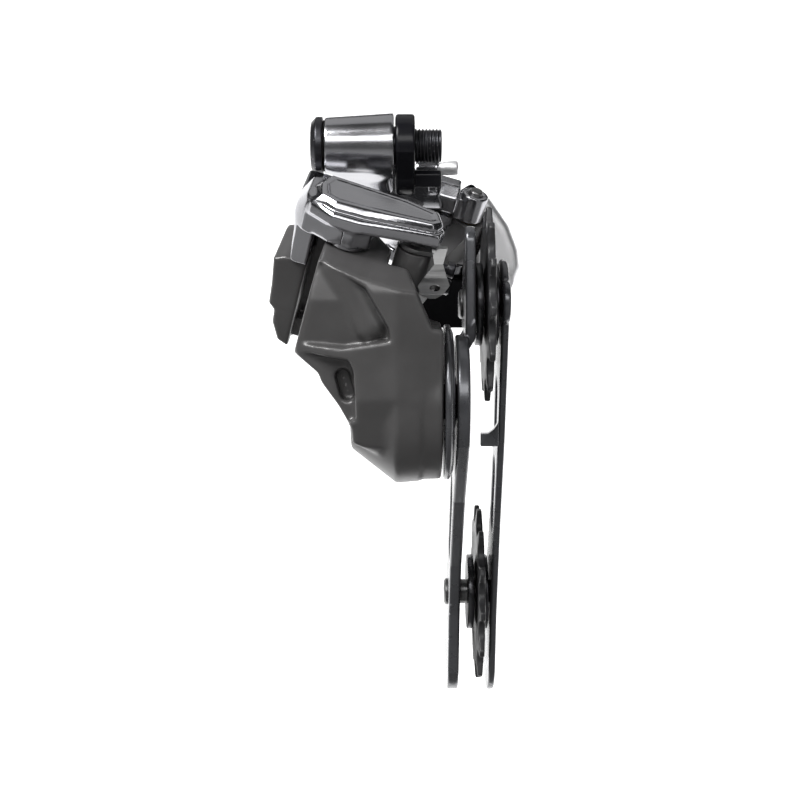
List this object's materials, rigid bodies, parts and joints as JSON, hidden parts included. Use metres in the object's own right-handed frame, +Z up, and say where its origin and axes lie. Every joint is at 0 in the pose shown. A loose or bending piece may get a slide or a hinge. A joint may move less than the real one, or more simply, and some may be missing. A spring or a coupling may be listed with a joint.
{
  "type": "rear bicycle derailleur",
  "caption": "Electronic rear derailleur: hanger-bolt knuckle, slanted link parallelogram, drum-shaped lower knuckle and long sprung cage carrying two toothed pulleys.",
  "frame": {"origin": "on the hanger bolt's axis, in the stop plate's face that meets the frame's hanger", "axes": "+X inboard along the hanger bolt towards the wheel, +Y to the rear of the bicycle, +Z up"},
  "size_m": [0.0757, 0.0996, 0.1861],
  "materials": {
    "gunmetal_chrome": "dark mirror-polished plating",
    "polished_alloy": "bright polished",
    "dark_anodised": "satin dark grey coating",
    "gloss_black": "gloss black",
    "black_steel": "black oxide, satin",
    "cage_plate": "gloss black anodised with polished edges",
    "steel": "machined steel",
    "bronze": "sintered bronze",
    "pulley_resin": "moulded black resin",
    "rubber": "soft matte",
    "board": "solder-masked laminate",
    "lens": "clear",
    "cell": "sleeved cell"
  },
  "bodies": {
    "mount": {"hanger_bolt": "black_steel", "stop_plate": "gloss_black", "bolt_seal": "rubber"},
    "upper_knuckle": {"upper_knuckle": "gunmetal_chrome", "axle_bushes": "bronze", "axle_spring": "steel", "upper_outer_pin": "steel", "upper_inner_pin": "steel", "drive_housing": "polished_alloy", "drive_motor": "steel", "circuit_board": "board", "plug_port": "black_steel", "status_lens": "lens", "housing_screws": "steel"},
    "height_screw": {"height_screw": "polished_alloy"},
    "function_button": {"function_button": "rubber"},
    "drive_pinion": {"drive_pinion": "steel"},
    "outer_link": {"outer_link": "gunmetal_chrome", "outer_link_bushes": "bronze", "link_cover": "gunmetal_chrome", "link_guard": "dark_anodised", "battery": "cell"},
    "inner_link": {"inner_link": "dark_anodised", "inner_link_bushes": "bronze", "drive_gear": "steel"},
    "outer_end_screw": {"outer_end_screw": "black_steel"},
    "inner_end_screw": {"inner_end_screw": "black_steel"},
    "lower_knuckle": {"lower_knuckle": "dark_anodised", "lower_outer_pin": "steel", "lower_inner_pin": "steel", "cage_bushes": "bronze", "cage_spring": "steel", "retainer_tab": "steel"},
    "cage": {"cage_axle": "black_steel", "pivot_disc": "cage_plate", "outer_cage_plate": "cage_plate", "inner_cage_plate": "cage_plate", "chain_hook": "cage_plate", "guide_bolt": "steel", "guide_bush": "steel", "guide_shields": "black_steel", "tension_bolt": "steel", "tension_bush": "steel", "tension_shields": "black_steel"},
    "guide_pulley": {"guide_pulley": "pulley_resin"},
    "tension_pulley": {"tension_pulley": "pulley_resin"}
  },
  "joints": [
    {"name": "knuckle_pivot", "type": "hinge", "parent": "mount", "child": "upper_knuckle", "pos_m": [-0.016, 0, 0], "axis": [1, 0, 0], "range_deg": [0, 35], "stiffness_Nm_per_rad": 0.4, "springref_deg": -34.38},
    {"name": "link_swing", "type": "hinge", "parent": "upper_knuckle", "child": "outer_link", "pos_m": [-0.0022, 0.03108, -0.02291], "axis": [0.2402, -0.4384, 0.8661], "range_deg": [0, 42]},
    {"name": "inner_link_swing", "type": "hinge", "parent": "upper_knuckle", "child": "inner_link", "pos_m": [0.01538, 0.03288, -0.02688], "axis": [0.2402, -0.4384, 0.8661], "range_deg": [0, 42]},
    {"name": "knuckle_follow", "type": "hinge", "parent": "outer_link", "child": "lower_knuckle", "pos_m": [-0.01859, -0.02544, -0.02735], "axis": [0.2402, -0.4384, 0.8661], "range_deg": [-42, 0]},
    {"name": "pinion_spin", "type": "hinge", "parent": "upper_knuckle", "child": "drive_pinion", "pos_m": [0.02223, 0.03632, -0.03397], "axis": [0.2402, -0.4384, 0.8661], "range_deg": [-101.8, 1]},
    {"name": "cage_swing", "type": "hinge", "parent": "lower_knuckle", "child": "cage", "pos_m": [0, -0.018, -0.0721], "axis": [1, 0, 0], "range_deg": [-95, 0], "stiffness_Nm_per_rad": 0.25, "springref_deg": 68.75},
    {"name": "guide_spin", "type": "hinge", "parent": "cage", "child": "guide_pulley", "pos_m": [0.021, -0.0043, -0.0454], "axis": [1, 0, 0], "continuous": true},
    {"name": "tension_spin", "type": "hinge", "parent": "cage", "child": "tension_pulley", "pos_m": [0.021, 0.0303, -0.1414], "axis": [1, 0, 0], "continuous": true},
    {"name": "height_screw_travel", "type": "slide", "parent": "upper_knuckle", "child": "height_screw", "axis": [0.9976, 0, 0.0698], "range_m": [-0.002, 0.002]},
    {"name": "outer_end_screw_travel", "type": "slide", "parent": "inner_link", "child": "outer_end_screw", "axis": [0.9636, 0, -0.2672], "range_m": [-0.001, 0.001]},
    {"name": "inner_end_screw_travel", "type": "slide", "parent": "inner_link", "child": "inner_end_screw", "axis": [0.9636, 0, -0.2672], "range_m": [-0.001, 0.001]},
    {"name": "button_press", "type": "slide", "parent": "upper_knuckle", "child": "function_button", "axis": [0, -1, 0], "range_m": [0, 0.0006], "stiffness_N_per_m": 500}
  ],
  "couplings": [
    {"joint": "inner_link_swing", "follows": "link_swing", "ratio": 1},
    {"joint": "knuckle_follow", "follows": "link_swing", "ratio": -1},
    {"joint": "pinion_spin", "follows": "link_swing", "ratio": -2.4}
  ]
}
